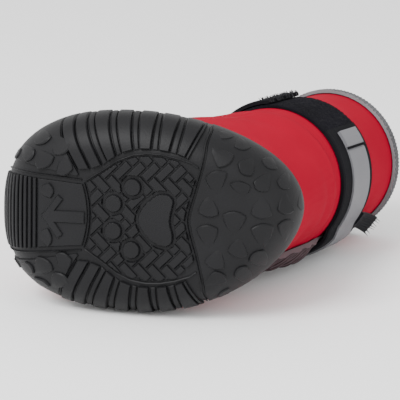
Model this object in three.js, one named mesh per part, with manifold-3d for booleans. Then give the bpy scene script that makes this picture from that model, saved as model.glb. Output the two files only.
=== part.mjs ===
// Dog bootie lying on its right side, millimetres, +Z up.
// Boot coordinates inside the group: x toe, y left, z from the tread up to the collar.
import * as THREE from "three";
import { mergeVertices } from "three/addons/utils/BufferGeometryUtils.js";
import Module from "manifold-3d";

const wasm = await Module();
wasm.setup();

// Driving sizes
const SIZE = {
  toe: 52, // outline reach in front of the boot origin
  heel: 40, // outline reach behind it
  half_width: 29.7,
  ball_x: 8, // where the outline is widest
  flank: 12, // radius of the edge that wraps up the side
  sidewall: 3, // upright wall above the flank
  rubber: 2.8,
  toe_spring: 6,
  heel_rise: 6,
  heel_swing: 3, // the heel bends to the left by this much
  toe_swing: 2, // and the toe to the right
  lug: 1.7,
  clearance: 0.3,
  insole: 3,
  wall: 2.5,
  shaft_radius: 23.2,
  shaft_lean: 11, // degrees backwards
  strap_width: 24.5,
  strap_thick: 1.4,
  loop_thick: 1,
  tape_width: 12.5,
  tape_thick: 0.5,
  binding: 5,
  binding_thick: 1,
  lie_flat: 0.7, // how far the lowest rubber is pressed flat
};
const SIDES = 64; // points round a ring
const SINK = 0.7; // how far a lug is sunk into the rubber
const UP = Math.PI / 180;

const lerp = (a, b, t) => a + (b - a) * t;
const clamp = (v, a, b) => Math.min(b, Math.max(a, v));
const smooth = (a, b, v) => {
  const t = clamp((v - a) / (b - a), 0, 1);
  return t * t * (3 - 2 * t);
};

// Radius of the outline round the ball point, rounder at the heel than at the toe
function outline(t, reach = 0) {
  const c = Math.cos(t);
  const s = Math.abs(Math.sin(t));
  const long = (c > 0 ? SIZE.toe - SIZE.ball_x : SIZE.heel + SIZE.ball_x) - reach;
  const p = c > 0 ? 2.55 : 1.9;
  return Math.pow(Math.pow(Math.abs(c) / long, p) + Math.pow(s / (SIZE.half_width - reach), p), -1 / p);
}

// Rise of the tread toward the toe and the heel, and the sideways bend of both ends
function rocker(x) {
  const front = clamp((x - 12) / (SIZE.toe - 12), 0, 1.2);
  const back = clamp((-6 - x) / (SIZE.heel - 6), 0, 1.2);
  return SIZE.toe_spring * front * front + SIZE.heel_rise * back * back;
}
function swing(x) {
  const back = clamp((SIZE.ball_x - x) / (SIZE.heel + SIZE.ball_x), 0, 1.2);
  const front = clamp((x - SIZE.ball_x) / (SIZE.toe - SIZE.ball_x), 0, 1.2);
  return SIZE.heel_swing * back * back - SIZE.toe_swing * front * front;
}

// Point of the sole at an angle, a radius and a height
function place(t, r, z) {
  const x = SIZE.ball_x + r * Math.cos(t);
  return [x, r * Math.sin(t) + swing(x), z + rocker(x)];
}

// Point on the tread: d runs along the rubber from the ball point, over the flank and up the wall
function tread(t, d, out = 0) {
  const flat = outline(t) - SIZE.flank;
  const arc = (SIZE.flank * Math.PI) / 2;
  if (d <= flat) return place(t, d, -out);
  const a = Math.min((d - flat) / SIZE.flank, Math.PI / 2);
  const r = flat + (SIZE.flank + out) * Math.sin(a);
  return place(t, r, SIZE.flank - (SIZE.flank + out) * Math.cos(a) + Math.max(0, d - flat - arc));
}
// The same from unrolled plan coordinates
function wrap(x, y, out) {
  const u = x - SIZE.ball_x;
  return tread(Math.atan2(y, u), Math.hypot(u, y), out);
}

// One closed solid from rings of points, first and last ring closed by a cap or joined in a loop
function loft(rings, loop = false) {
  const n = rings[0].length;
  const verts = rings.flat(2);
  const tris = [];
  const rows = loop ? rings.length : rings.length - 1;
  for (let i = 0; i < rows; i++) {
    const a = i * n;
    const b = ((i + 1) % rings.length) * n;
    for (let j = 0; j < n; j++) {
      const k = (j + 1) % n;
      tris.push(a + j, a + k, b + k, a + j, b + k, b + j);
    }
  }
  if (!loop) {
    for (const [start, flip] of [[0, true], [(rings.length - 1) * n, false]]) {
      const mid = [0, 0, 0];
      for (let j = 0; j < n; j++) for (let k = 0; k < 3; k++) mid[k] += verts[(start + j) * 3 + k] / n;
      const m = verts.length / 3;
      verts.push(...mid);
      for (let j = 0; j < n; j++) {
        const a = start + j;
        const b = start + ((j + 1) % n);
        tris.push(...(flip ? [m, b, a] : [m, a, b]));
      }
    }
  }
  return solid(verts, tris);
}

function solid(verts, tris) {
  const make = (t) =>
    new wasm.Manifold(
      new wasm.Mesh({ numProp: 3, vertProperties: new Float32Array(verts), triVerts: new Uint32Array(t) }),
    );
  const made = make(tris);
  if (made.volume() > 0) return made;
  const turned = [];
  for (let i = 0; i < tris.length; i += 3) turned.push(tris[i], tris[i + 2], tris[i + 1]);
  return make(turned);
}

// A slab that follows a surface: f(u, v, side) gives its inner face at side 0 and its outer face at side 1
function slab(f, nu, nv) {
  const verts = [];
  const tris = [];
  const id = (s, i, j) => s * (nu + 1) * (nv + 1) + i * (nv + 1) + j;
  for (let s = 0; s < 2; s++)
    for (let i = 0; i <= nu; i++) for (let j = 0; j <= nv; j++) verts.push(...f(i / nu, j / nv, s));
  for (let i = 0; i < nu; i++)
    for (let j = 0; j < nv; j++) {
      const q = [[i, j], [i + 1, j], [i + 1, j + 1], [i, j + 1]];
      const [a, b, c, d] = q.map(([p, r]) => id(1, p, r));
      const [e, g, h, k] = q.map(([p, r]) => id(0, p, r));
      tris.push(a, b, c, a, c, d, e, h, g, e, k, h);
    }
  const edge = [];
  for (let i = 0; i < nu; i++) edge.push([i, 0]);
  for (let j = 0; j < nv; j++) edge.push([nu, j]);
  for (let i = nu; i > 0; i--) edge.push([i, nv]);
  for (let j = nv; j > 0; j--) edge.push([0, j]);
  edge.forEach(([i, j], m) => {
    const [p, q] = edge[(m + 1) % edge.length];
    tris.push(id(0, i, j), id(0, p, q), id(1, p, q), id(0, i, j), id(1, p, q), id(1, i, j));
  });
  return solid(verts, tris);
}

const angles = Array.from({ length: SIDES }, (_, j) => (2 * Math.PI * j) / SIDES);

// Sole: cup with a wrapped edge
function cup() {
  const rings = [];
  const arc = (SIZE.flank * Math.PI) / 2;
  const at = (f) => angles.map(f);
  for (const q of [0.5, 1]) rings.push(at((t) => tread(t, q * (outline(t) - SIZE.flank))));
  for (const q of [0.25, 0.5, 0.75, 1])
    rings.push(at((t) => tread(t, outline(t) - SIZE.flank + q * arc)));
  rings.push(at((t) => tread(t, outline(t) - SIZE.flank + arc + SIZE.sidewall)));
  rings.push(at((t) => place(t, outline(t) - SIZE.rubber, SIZE.flank + SIZE.sidewall)));
  for (const q of [1, 0.66, 0.33, 0])
    rings.push(
      at((t) => {
        const a = (q * Math.PI) / 2;
        const r = SIZE.flank - SIZE.rubber;
        return place(t, outline(t) - SIZE.flank + r * Math.sin(a), SIZE.flank - r * Math.cos(a));
      }),
    );
  rings.push(at((t) => place(t, 0.6 * (outline(t) - SIZE.flank), SIZE.rubber)));
  return loft(rings);
}

// A lug on the tread between corners given in unrolled plan coordinates
function lug(a, b, c, d, high, nu, nv) {
  return slab(
    (u, v, s) => wrap(
      lerp(lerp(a[0], b[0], u), lerp(d[0], c[0], u), v),
      lerp(lerp(a[1], b[1], u), lerp(d[1], c[1], u), v),
      s ? high : -SINK,
    ),
    nu,
    nv,
  );
}

// Side ribs: column names are the station at the paw field, the station at the rim and both widths
const SIDE_RIBS = {
  columns: ["x_in", "x_out", "wide_in", "wide_out"],
  rows: [
    [17.2, 22.6, 2.8, 4.4],
    [13, 17.1, 2.6, 4.6],
    [8.4, 11, 3.4, 5],
    [3.2, 4.3, 3.8, 5.6],
    [-2, -3.4, 3.8, 5.6],
    [-7.2, -10, 3.4, 4.4],
  ],
};
const PAW_FIELD = 19.5; // half width of the middle field between the ribs
const ribEnd = (x) => {
  const t = Math.atan2(SIZE.half_width, x - SIZE.ball_x);
  return (outline(t) - SIZE.flank + (SIZE.flank * Math.PI) / 2) * Math.sin(t) - 1;
};
function sideRibs() {
  return SIDE_RIBS.rows.flatMap(([xi, xo, wi, wo]) =>
    [1, -1].map((side) => {
      const y0 = side * (PAW_FIELD - Math.abs(xi - 2) * 0.24);
      const y1 = side * ribEnd(xo);
      return lug([xi - wi / 2, y0], [xo - wo / 2, y1], [xo + wo / 2, y1], [xi + wi / 2, y0], SIZE.lug, 5, 1);
    }),
  );
}

// Toe ribs run across, three pads lie behind them
function toeRibs() {
  const bars = [44.5, 49, 53.2].map((x) =>
    lug([x - 1.2, -11], [x - 1.2, 11], [x + 1.2, 11], [x + 1.2, -11], SIZE.lug, 8, 1),
  );
  return [...bars, lug([25, -1.6], [25, 1.6], [40, 1.6], [40, -1.6], SIZE.lug, 1, 3)];
}

// Round and petal lugs: unrolled place, half length, half width and turn in degrees
const PADS = {
  columns: ["x", "y", "long", "wide", "turn"],
  rows: [
    [6.8, 9.2, 3, 2.8, 0],
    [12.8, 4.1, 3.2, 2.8, 0],
    [12.8, -4.1, 3.2, 2.8, 0],
    [6.8, -9.2, 3, 2.8, 0],
    [-1.5, 0, 5.4, 6.6, 0],
    [36, 8, 3.4, 1.8, 25],
    [36, -8, 3.4, 1.8, -25],
    [30, 15, 3.6, 2.4, 60],
    [30, -15, 3.6, 2.4, -60],
    [29, 23.5, 3.4, 2.4, 110],
    [29, -23.5, 3.4, 2.4, -110],
    [40, 17.5, 3.4, 2.4, 40],
    [40, -17.5, 3.4, 2.4, -40],
    [37, 26.5, 3, 2.4, 80],
    [37, -26.5, 3, 2.4, -80],
    [48, 17, 3, 2.2, 20],
    [48, -17, 3, 2.2, -20],
    [-16, 5, 3, 2.6, 20],
    [-16, -5, 3, 2.6, -20],
    [-19.5, 13.5, 3, 2.6, 70],
    [-19.5, -13.5, 3, 2.6, -70],
    [-20.5, 21.5, 3, 2.6, 100],
    [-20.5, -21.5, 3, 2.6, -100],
    [-24, 0, 3, 2.6, 0],
    [-26.5, 8.5, 3, 2.6, 40],
    [-26.5, -8.5, 3, 2.6, -40],
    [-28.5, 17.5, 3, 2.6, 120],
    [-28.5, -17.5, 3, 2.6, -120],
    [-27.5, 27, 3, 2.4, 150],
    [-27.5, -27, 3, 2.4, -150],
    [-33, 4, 3, 2.4, 10],
    [-33, -4, 3, 2.4, -10],
    [-36, 12, 3, 2.4, 60],
    [-36, -12, 3, 2.4, -60],
    [-36.5, 21, 3, 2.4, 30],
    [-36.5, -21, 3, 2.4, -30],
    [-41.5, 5, 3, 2.4, 0],
    [-41.5, -5, 3, 2.4, 0],
    [-43.5, 14, 2.8, 2.2, 30],
    [-43.5, -14, 2.8, 2.2, -30],
  ],
};
function pads() {
  return PADS.rows.map(([x, y, long, wide, turn]) => {
    const c = Math.cos(turn * UP);
    const s = Math.sin(turn * UP);
    const ring = (k, out) =>
      Array.from({ length: 7 }, (_, j) => {
        const a = (Math.PI * 2 * j) / 7;
        const u = long * k * Math.cos(a);
        const v = wide * k * Math.sin(a);
        return wrap(x + u * c - v * s, y + u * s + v * c, out);
      });
    const high = SIZE.lug * (Math.hypot(x - SIZE.ball_x, y) > 34 || Math.abs(y) > 20 ? 0.55 : 0.8);
    return loft([ring(1.08, -SINK), ring(0.72, high)]);
  });
}

function outsole() {
  let made = cup();
  for (const part of [...sideRibs(), ...toeRibs(), ...pads()]) made = made.add(part);
  return made;
}

// Insole: how far its edge stays inside the sole's outline at its foot, side and top
const INSOLE = { foot: 11.2, side: 7.2, top: 7.6, edge: 0.8, middle: 0.5 };
function insole() {
  const low = SIZE.rubber + SIZE.clearance;
  const ring = (reach, z, k = 1) => angles.map((t) => place(t, (outline(t) - reach) * k, z));
  const top = low + SIZE.insole;
  return loft([
    ring(INSOLE.foot, low, INSOLE.middle),
    ring(INSOLE.foot, low),
    ring(INSOLE.side, top - INSOLE.edge),
    ring(INSOLE.top, top),
    ring(INSOLE.top, top, INSOLE.middle),
  ]);
}

// Upper: front and back points, half width, sideways centre of each section above the sole cup
const SECTIONS = {
  columns: ["x_front", "z_front", "x_back", "z_back", "half_width", "y_mid", "toe_power"],
  rows: [
    [47.5, 27, -38.6, 29, 24.6, 0.2, 2.3],
    [40, 38, -40.2, 38, 23.6, 1.1, 2.2],
    [26, 50, -41.6, 46, 23.2, 1.6, 2.1],
    [11, 61, -42.6, 54, 23.2, 2.1, 2],
  ],
};
const SHAFT = { x: -20.3, y: 2.4, z: 67.3, height: 49.7 };

// Ring of the upper's outer face across a tilted plane
function section(xf, zf, xb, zb, half, mid, power) {
  const cx = (xf + xb) / 2;
  const cz = (zf + zb) / 2;
  return angles.map((t) => {
    const c = Math.cos(t);
    const s = Math.sin(t);
    const p = c > 0 ? power : 2;
    const r = Math.pow(Math.pow(Math.abs(c), p) + Math.pow(Math.abs(s), p), -1 / p);
    return [cx + (r * c * (xf - xb)) / 2, mid + r * s * half, cz + (r * c * (zf - zb)) / 2];
  });
}
function shaftRing(up) {
  const a = SIZE.shaft_lean * UP;
  const cx = SHAFT.x - up * Math.sin(a);
  const cz = SHAFT.z + up * Math.cos(a);
  const r = SIZE.shaft_radius;
  return section(cx + r * Math.cos(a), cz + r * Math.sin(a), cx - r * Math.cos(a), cz - r * Math.sin(a), r, SHAFT.y, 2);
}
const soleRing = (reach, z) => angles.map((t) => place(t, outline(t) - reach, z));
const CONTROL = [
  soleRing(SIZE.rubber + SIZE.clearance + 1.8, 7),
  soleRing(SIZE.rubber + SIZE.clearance + 0.3, 10.5),
  soleRing(SIZE.rubber + SIZE.clearance, 15.5),
  ...SECTIONS.rows.map((row) => section(...row)),
  shaftRing(0),
  shaftRing(SHAFT.height / 2),
  shaftRing(SHAFT.height),
];
const LEVELS = CONTROL.length - 1;
const SHAFT_LEVEL = LEVELS - 2;

// Outer face of the upper: t is the angle index, v the level, 0 at the sole and LEVELS at the collar
function skin(j, v) {
  const i = clamp(Math.floor(v), 0, LEVELS - 1);
  const f = v - i;
  const row = (k) => CONTROL[clamp(k, 0, LEVELS)];
  const at = (k, n) => {
    const a = Math.floor(j);
    const w = j - a;
    const p = row(k)[((a % SIDES) + SIDES) % SIDES];
    const q = row(k)[(((a + 1) % SIDES) + SIDES) % SIDES];
    return p[n] * (1 - w) + q[n] * w;
  };
  return [0, 1, 2].map((n) => {
    const [a, b, c, d] = [at(i - 1, n), at(i, n), at(i + 1, n), at(i + 2, n)];
    return b + 0.5 * f * (c - a + f * (2 * a - 5 * b + 4 * c - d + f * (3 * (b - c) + d - a)));
  });
}
// The same moved outwards, or inwards for a negative distance
function off(j, v, out) {
  const p = skin(j, v);
  const minus = (a, b) => a.map((k, n) => k - b[n]);
  const e = 0.05;
  const u = minus(skin(j + 0.5, v), skin(j - 0.5, v));
  const w = minus(skin(j, Math.min(v + e, LEVELS)), skin(j, Math.max(v - e, 0)));
  const n = [u[1] * w[2] - u[2] * w[1], u[2] * w[0] - u[0] * w[2], u[0] * w[1] - u[1] * w[0]];
  const m = Math.hypot(...n);
  return p.map((k, i) => k + (n[i] / m) * out);
}
// Level of a height along the shaft
const shaftLevel = (up) => SHAFT_LEVEL + (2 * up) / SHAFT.height;

const round = (v, out) => angles.map((_, j) => off(j, v, out));

// Angles round the shaft in ring steps: 0 front, 16 left, 32 back, 48 right
const AT = { left: 16, back: 32, right: 48 };
const STEP = { strap_low: 0, strap_high: SIZE.strap_width, slot_top: 26, gusset_top: 33 };

// Throat slot and the gusset that closes it
const GUSSET = { mid: AT.right - 1.5, half: 6.2, low: 3.05, flange: 1.5, pleats: 9, deep: 0.8, thick: 2.2 };
const gussetHalf = (v) => GUSSET.half * (0.72 + 0.28 * smooth(3, 6, v));
function throatSlot() {
  const top = shaftLevel(STEP.slot_top);
  return slab(
    (u, v, s) => {
      const w = lerp(4, top, v);
      const half = (gussetHalf(w) - GUSSET.flange) * Math.sqrt(Math.max(0.12, 1 - Math.pow(2 * v - 1, 6)));
      return off(GUSSET.mid + (2 * u - 1) * half, w, s ? 1 : -SIZE.wall - 1);
    },
    4,
    16,
  );
}
function gusset() {
  const top = shaftLevel(STEP.gusset_top);
  return slab(
    (u, v, s) => {
      const w = lerp(GUSSET.low, top, v);
      const half = gussetHalf(w) * Math.sqrt(Math.max(0.06, 1 - Math.pow(2 * v - 1, 8)));
      const edge = Math.pow(Math.sin(Math.PI * clamp(u, 0.06, 0.94)), 0.6);
      const under = smooth(shaftLevel(-5), shaftLevel(0), w);
      const bulge = lerp(2.6, 0, under) * smooth(GUSSET.low, 4.4, w);
      const fold = GUSSET.deep * (1 - under) * Math.cos(2 * Math.PI * GUSSET.pleats * v);
      const pinch = -1.2 * (1 - under) * Math.exp(-Math.pow((u - 0.42) / 0.09, 2));
      const out = SIZE.clearance + 0.7 + (bulge + GUSSET.thick - 1.2 + fold + pinch) * edge;
      const tip = smooth(shaftLevel(STEP.strap_high + 0.8), shaftLevel(STEP.strap_high + 3), w) * 2 * edge;
      const high = Math.min(out, lerp(out, 1.5, under)) + tip;
      return off(GUSSET.mid + (2 * u - 1) * half, w, s ? high : SIZE.clearance);
    },
    8,
    36,
  );
}

function upper() {
  const rings = [];
  const outer = [0, 0.7, 1.4, 2, 2.5, 3, 3.5, 4, 4.5, 5, 5.5, 6, 6.5, 7, 7.4, 8, LEVELS];
  const inner = [LEVELS, 7, 6, 5.5, 5, 4, 3, 2, 1, 0];
  for (const v of outer) rings.push(round(v, 0));
  for (const v of inner) rings.push(round(v, -SIZE.wall));
  return loft(rings, true).subtract(throatSlot());
}

function collarBinding() {
  const g = SIZE.clearance;
  const k = SIZE.binding_thick;
  const low = shaftLevel(SHAFT.height - SIZE.binding);
  const lift = (ring, up) => {
    const a = SIZE.shaft_lean * UP;
    return ring.map(([x, y, z]) => [x - up * Math.sin(a), y, z + up * Math.cos(a)]);
  };
  const mid = -SIZE.wall / 2;
  return loft(
    [
      round(low, g),
      round(LEVELS, g),
      lift(round(LEVELS, g), g),
      lift(round(LEVELS, -SIZE.wall - g), g),
      round(low, -SIZE.wall - g),
      round(low, -SIZE.wall - g - k),
      round(LEVELS, -SIZE.wall - g - k),
      lift(round(LEVELS, mid - 1), g + k),
      lift(round(LEVELS, mid + 1), g + k),
      round(LEVELS, g + k),
      round(low, g + k),
    ],
    true,
  );
}

// Bands round the shaft: first and last ring step, low and high edge, inner and outer distance
function band(from, to, low, high, inner, outer, nu, nv = 2) {
  return slab(
    (u, v, s) => {
      const j = lerp(from, to, u);
      return off(j, shaftLevel(lerp(low, high, v)), s ? outer(j) : inner(j));
    },
    nu,
    nv,
  );
}
const BAND = { loop_from: -8, loop_to: 23.4, strap_from: 24, strap_to: 79, lap_from: 53, lap_to: 55.4 };
const overGusset = (j) => {
  const near = Math.abs(j - GUSSET.mid);
  return 1.5 * (1 - smooth(GUSSET.half - 0.2, GUSSET.half + 2.2, near));
};
const overLoop = (j) => (SIZE.loop_thick + SIZE.clearance) * smooth(BAND.lap_from, BAND.lap_to, j);
const strapIn = (j) => SIZE.clearance + Math.max(overGusset(j), overLoop(j));
const strapOut = (j) => strapIn(j) + SIZE.strap_thick;
function loopBand() {
  const a = () => SIZE.clearance;
  const b = () => SIZE.clearance + SIZE.loop_thick;
  return band(BAND.loop_from, BAND.loop_to, STEP.strap_low, STEP.strap_high, a, b, 32);
}
function strap() {
  return band(BAND.strap_from, BAND.strap_to, STEP.strap_low, STEP.strap_high, strapIn, strapOut, 56);
}
function reflectiveTape() {
  const low = 8;
  const a = (j) => strapOut(j) + SIZE.clearance;
  const b = (j) => strapOut(j) + SIZE.clearance + SIZE.tape_thick;
  return band(BAND.strap_from + 0.8, 66, low, low + SIZE.tape_width, a, b, 42, 1);
}
function hookTab() {
  const low = STEP.strap_high + SIZE.clearance + 0.4;
  return slab(
    (u, v, s) => {
      const out = 1.2 + 3.4 * v * v;
      return off(lerp(37.4, 40, u), shaftLevel(low + 4.5 * v), out + (s ? 1.1 : 0));
    },
    4,
    4,
  );
}

// Material colours
const LOOK = {
  columns: ["colour", "roughness"],
  outsole: [0x2b2b2e, 0.75],
  insole: [0x3a3a3c, 0.9],
  upper: [0xc3283a, 0.8],
  gusset: [0x6b5f62, 0.9],
  collar_binding: [0x8c8c8c, 0.9],
  loop_band: [0x222225, 0.95],
  strap: [0x262629, 0.85],
  reflective_tape: [0x8d8d92, 0.45],
  hook_tab: [0x1c1c1e, 0.8],
};

// Lying attitude: toe to -X, sole toward -Y, right side down, tipped until sole edge and shaft both touch
const LIE = { tilt: -4.55, roll: 0 };
const turn = new THREE.Matrix4()
  .makeRotationX(LIE.tilt * UP)
  .multiply(new THREE.Matrix4().makeRotationY(LIE.roll * UP))
  .multiply(new THREE.Matrix4().makeBasis(
    new THREE.Vector3(-1, 0, 0),
    new THREE.Vector3(0, 0, 1),
    new THREE.Vector3(0, 1, 0),
  ));

function geometryOf(made) {
  const m = made.getMesh();
  const g = new THREE.BufferGeometry();
  const p = new Float32Array(m.numVert * 3);
  for (let i = 0; i < m.numVert; i++) p.set(m.vertProperties.subarray(i * m.numProp, i * m.numProp + 3), i * 3);
  g.setAttribute("position", new THREE.BufferAttribute(p, 3));
  g.setIndex(new THREE.BufferAttribute(new Uint32Array(m.triVerts), 1));
  return g.applyMatrix4(turn);
}

const made = {
  outsole: outsole(),
  insole: insole(),
  upper: upper(),
  gusset: gusset(),
  collar_binding: collarBinding(),
  loop_band: loopBand(),
  strap: strap(),
  reflective_tape: reflectiveTape(),
  hook_tab: hookTab(),
};
const shapes = Object.entries(made).map(([name, s]) => [name, geometryOf(s)]);

// Box of the whole part puts it in the middle of the floor
const box = new THREE.Box3();
for (const [, g] of shapes) {
  g.computeBoundingBox();
  box.union(g.boundingBox);
}
const middle = box.getCenter(new THREE.Vector3());

// Flat floor cut: what would sink below it is pressed flat
function pressed(g) {
  g.translate(-middle.x, -middle.y, -box.min.z - SIZE.lie_flat);
  g.computeBoundingBox();
  if (g.boundingBox.min.z > 0) return g;
  const slabBox = new THREE.BoxGeometry(400, 400, 40).translate(0, 0, -20);
  const toSolid = (geometry) => {
    const plain = geometry.clone();
    plain.deleteAttribute("normal");
    plain.deleteAttribute("uv");
    const merged = mergeVertices(plain, 1e-4);
    return solid(Array.from(merged.attributes.position.array), Array.from(merged.index.array));
  };
  const m = toSolid(g).subtract(toSolid(slabBox)).getMesh();
  const cut = new THREE.BufferGeometry();
  cut.setAttribute("position", new THREE.BufferAttribute(new Float32Array(m.vertProperties), 3));
  cut.setIndex(new THREE.BufferAttribute(new Uint32Array(m.triVerts), 1));
  return cut;
}

const group = new THREE.Group();
group.name = "dog_bootie";
for (const [name, g] of shapes) {
  const [color, roughness] = LOOK[name];
  const mesh = new THREE.Mesh(pressed(g), new THREE.MeshStandardMaterial({ color, roughness, metalness: 0 }));
  mesh.name = name;
  group.add(mesh);
}

export default group;
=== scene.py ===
# %% [markdown]
# A dog bootie, dressed step by step
#
# The solids of the boot are loaded as a fixed frame, and each soft or moulded piece is then made
# finer on top of them. The boot lies on its right side with the sole toward the camera, so most of
# the work goes into the tread.

# %% Load the frame
import math

import bmesh
import bpy
import numpy as np
from mathutils import Matrix, Vector


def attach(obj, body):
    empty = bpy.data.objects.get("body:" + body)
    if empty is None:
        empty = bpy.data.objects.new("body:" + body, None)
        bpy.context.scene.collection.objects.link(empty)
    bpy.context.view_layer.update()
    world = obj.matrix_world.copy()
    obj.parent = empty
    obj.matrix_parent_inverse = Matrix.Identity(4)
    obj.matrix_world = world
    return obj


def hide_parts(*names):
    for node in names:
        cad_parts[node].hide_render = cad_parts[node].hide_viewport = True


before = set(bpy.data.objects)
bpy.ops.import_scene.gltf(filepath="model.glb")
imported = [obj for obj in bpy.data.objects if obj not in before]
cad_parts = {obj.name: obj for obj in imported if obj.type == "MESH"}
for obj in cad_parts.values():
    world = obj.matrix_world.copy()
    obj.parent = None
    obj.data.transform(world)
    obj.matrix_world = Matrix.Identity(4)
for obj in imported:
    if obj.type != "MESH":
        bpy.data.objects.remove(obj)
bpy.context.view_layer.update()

# %% [markdown]
# Sizes of the boot
#
# The boot has its own coordinates: x toward the toe, y to its left, z from the tread up to the
# collar, all in millimetres. A maker would call these the last sizes. They are the same ones that
# the solids were made from, so every new piece sits where its solid sits.

# %% Boot sizes and the lying attitude
TOE, HEEL, HALF_WIDTH, BALL = 52, 40, 29.7, 8
FLANK, SIDEWALL, RUBBER = 12, 3, 2.8
TOE_SPRING, HEEL_RISE, HEEL_SWING, TOE_SWING = 6, 6, 3, 2
WALL, GAP = 2.5, 0.3
SHAFT_RADIUS, SHAFT_LEAN = 23.2, math.radians(11)
SHAFT_X, SHAFT_Y, SHAFT_Z, SHAFT_HEIGHT = -20.3, 2.4, 67.3, 49.7
STRAP_WIDTH, STRAP_THICK, LOOP_THICK = 24.5, 1.4, 1.0
LIE_TILT = math.radians(-4.55)
BOOT_AT = np.array([-0.532, -59.396, 31.406])
ARC = FLANK * math.pi / 2
print("sole", TOE + HEEL, "x", 2 * HALF_WIDTH, "mm")

# %% [markdown]
# From boot sizes to the scene
#
# A pattern is easiest to draw on a flat sheet. These functions lay a flat point on the sole, round
# its edge and up its wall, and then turn the boot onto its side, so a flat pattern becomes a wrapped
# one in one call.


# %% Sole functions
def outline(angle):
    """Plan radius of the sole round the ball point."""
    c, s = np.cos(angle), np.abs(np.sin(angle))
    long = np.where(c > 0, TOE - BALL, HEEL + BALL)
    power = np.where(c > 0, 2.55, 1.9)
    return ((np.abs(c) / long) ** power + (s / HALF_WIDTH) ** power) ** (-1 / power)


def rocker(x):
    front = np.clip((x - 12) / (TOE - 12), 0, 1.2)
    back = np.clip((-6 - x) / (HEEL - 6), 0, 1.2)
    return TOE_SPRING * front**2 + HEEL_RISE * back**2


def swing(x):
    back = np.clip((BALL - x) / (HEEL + BALL), 0, 1.2)
    front = np.clip((x - BALL) / (TOE - BALL), 0, 1.2)
    return HEEL_SWING * back**2 - TOE_SWING * front**2


def place(angle, radius, height):
    x = BALL + radius * np.cos(angle)
    return np.stack([x, radius * np.sin(angle) + swing(x), height + rocker(x)], -1)


def tread_point(angle, run, out):
    """run is the way along the rubber from the ball point, out the height of the pattern."""
    flat = outline(angle) - FLANK
    bend = np.clip((run - flat) / FLANK, 0, math.pi / 2)
    radius = np.where(run <= flat, run, flat + (FLANK + out) * np.sin(bend))
    high = FLANK - (FLANK + out) * np.cos(bend) + np.maximum(0, run - flat - ARC)
    return place(angle, radius, np.where(run <= flat, -out, high))


def to_scene(points):
    """Boot millimetres to scene metres."""
    x, y, z = -points[..., 0], points[..., 2], points[..., 1]
    c, s = math.cos(LIE_TILT), math.sin(LIE_TILT)
    turned = np.stack([x, y * c - z * s, y * s + z * c], -1)
    return (turned + BOOT_AT) / 1000


def ease(low, high, value):
    t = np.clip((value - low) / (high - low), 0, 1)
    return t * t * (3 - 2 * t)


# %% [markdown]
# The upper's own surface
#
# The neoprene sock is one smooth skin through a few sections: three that follow the sole, four over
# the toe and instep, and three round the shaft. Every band, seam and mesh fold is later laid on this
# one skin, each at its own height from it.

# %% Upper sections
SIDES = 64
ANGLES = np.arange(SIDES) * 2 * math.pi / SIDES
SECTIONS = [
    dict(front=(47.5, 27), back=(-38.6, 29), half=24.6, mid=0.2, power=2.3),
    dict(front=(40, 38), back=(-40.2, 38), half=23.6, mid=1.1, power=2.2),
    dict(front=(26, 50), back=(-41.6, 46), half=23.2, mid=1.6, power=2.1),
    dict(front=(11, 61), back=(-42.6, 54), half=23.2, mid=2.1, power=2),
]


def section(front, back, half, mid, power):
    c, s = np.cos(ANGLES), np.sin(ANGLES)
    p = np.where(c > 0, power, 2)
    r = (np.abs(c) ** p + np.abs(s) ** p) ** (-1 / p)
    x = (front[0] + back[0]) / 2 + r * c * (front[0] - back[0]) / 2
    z = (front[1] + back[1]) / 2 + r * c * (front[1] - back[1]) / 2
    return np.stack([x, mid + r * s * half, z], -1)


def shaft_ring(up):
    c, s = math.cos(SHAFT_LEAN), math.sin(SHAFT_LEAN)
    x, z, r = SHAFT_X - up * s, SHAFT_Z + up * c, SHAFT_RADIUS
    return section((x + r * c, z + r * s), (x - r * c, z - r * s), r, SHAFT_Y, 2)


def sole_ring(reach, height):
    return place(ANGLES, outline(ANGLES) - reach, height)


RINGS = np.array(
    [sole_ring(RUBBER + GAP + 1.8, 7), sole_ring(RUBBER + GAP + 0.3, 10.5), sole_ring(RUBBER + GAP, 15.5)]
    + [section(**row) for row in SECTIONS]
    + [shaft_ring(0), shaft_ring(SHAFT_HEIGHT / 2), shaft_ring(SHAFT_HEIGHT)]
)
LEVELS = len(RINGS) - 1
SHAFT_LEVEL = LEVELS - 2
print("upper sections", len(RINGS))


def skin(step, level):
    """Point of the upper's outer face: step goes 0 to 64 round it, level 0 to 9 up it."""
    i = np.clip(np.floor(level).astype(int), 0, LEVELS - 1)
    f = (level - i)[..., None]
    low = np.floor(step).astype(int)
    w = (step - low)[..., None]

    def ring(k):
        k = np.clip(k, 0, LEVELS)
        return RINGS[k, low % SIDES] * (1 - w) + RINGS[k, (low + 1) % SIDES] * w

    a, b, c, d = ring(i - 1), ring(i), ring(i + 1), ring(i + 2)
    return b + 0.5 * f * (c - a + f * (2 * a - 5 * b + 4 * c - d + f * (3 * (b - c) + d - a)))


def on_upper(step, level, out):
    step, level = np.broadcast_arrays(np.asarray(step, float), np.asarray(level, float))
    around = skin(step + 1, level) - skin(step - 1, level)
    along = skin(step, np.minimum(level + 0.05, LEVELS)) - skin(step, np.maximum(level - 0.05, 0))
    normal = np.cross(around, along)
    normal /= np.linalg.norm(normal, axis=-1, keepdims=True)
    return skin(step, level) + normal * np.asarray(out)[..., None]


def shaft_level(up):
    return SHAFT_LEVEL + 2 * up / SHAFT_HEIGHT


# %% [markdown]
# A sheet that takes a shape
#
# Most pieces here are sheets: knitted, woven or pressed. A plain grid is added, its corners run from
# 0 to 1 both ways, and a function then lays each point in place. A second copy of the grid becomes the
# inner face and a wall closes the rim. Solidify would keep the two faces an even distance apart, and
# here each follows its own function.


# %% Sheet helper
SEAM_GAP = 0.00001


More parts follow.
